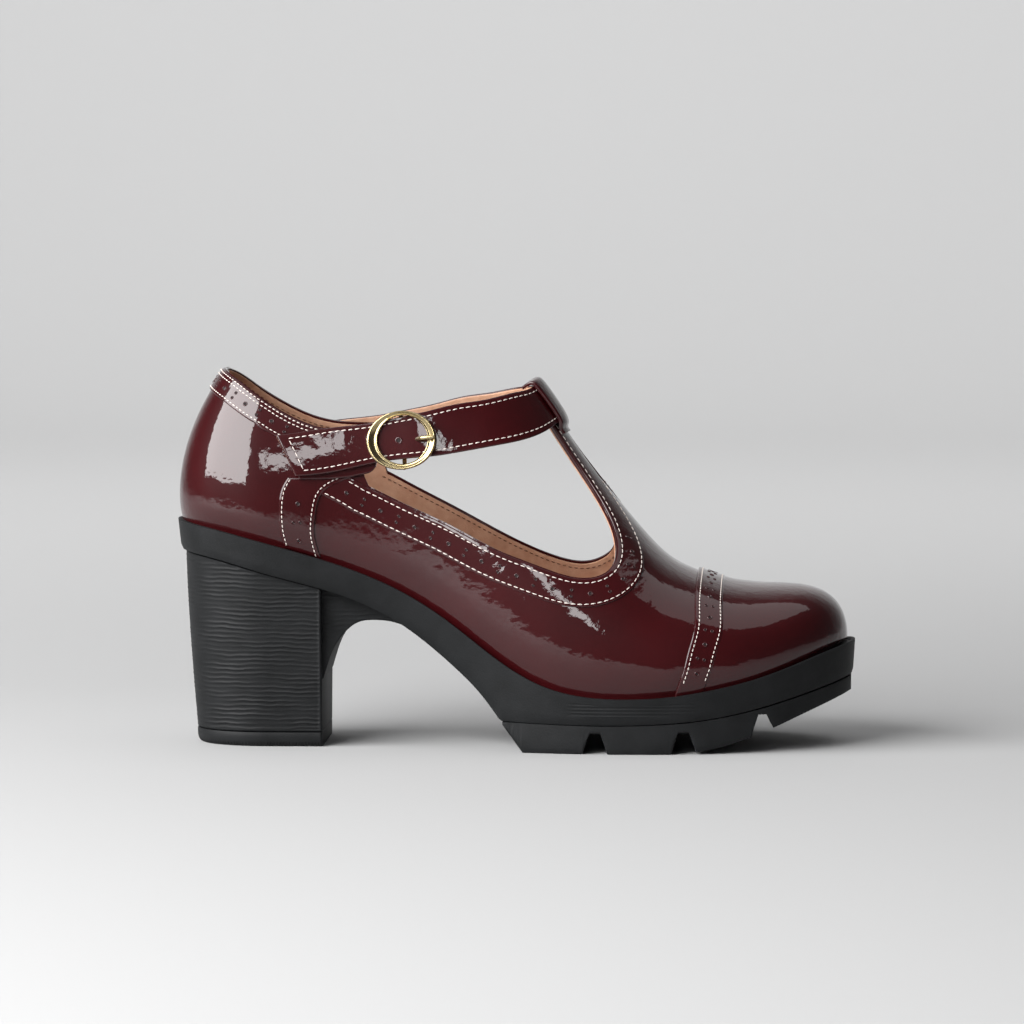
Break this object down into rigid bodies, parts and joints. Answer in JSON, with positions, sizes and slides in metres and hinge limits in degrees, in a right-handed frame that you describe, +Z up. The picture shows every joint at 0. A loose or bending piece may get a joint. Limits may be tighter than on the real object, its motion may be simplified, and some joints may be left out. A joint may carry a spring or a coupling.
{
  "type": "platform t-strap shoe",
  "caption": "Right T-strap shoe with a block heel, lugged platform sole, round toe cap and an ankle strap fastened with an oval buckle.",
  "frame": {"origin": "centre of the shoe's length and width, on the floor plane it stands on", "axes": "+X along the shoe towards its toe, +Y to the foot's inner side, away from the buckle, +Z up"},
  "size_m": [0.246, 0.092, 0.1358],
  "materials": {
    "patent_leather": "high-gloss oxblood patent",
    "lining": "matt tan",
    "black_rubber": "matt black",
    "old_gold": "antique gold plate"
  },
  "bodies": {
    "root": {"upper": "patent_leather", "toe_cap": "patent_leather", "collar_strip": "patent_leather", "quarter_strip_outer": "patent_leather", "quarter_strip_inner": "patent_leather", "t_loop": "patent_leather", "ankle_strap": "patent_leather", "buckle_tab": "patent_leather", "buckle_frame": "old_gold", "buckle_prong": "old_gold", "insole": "lining", "platform": "black_rubber", "tread": "black_rubber", "heel_block": "black_rubber", "top_lift": "black_rubber"}
  },
  "joints": []
}
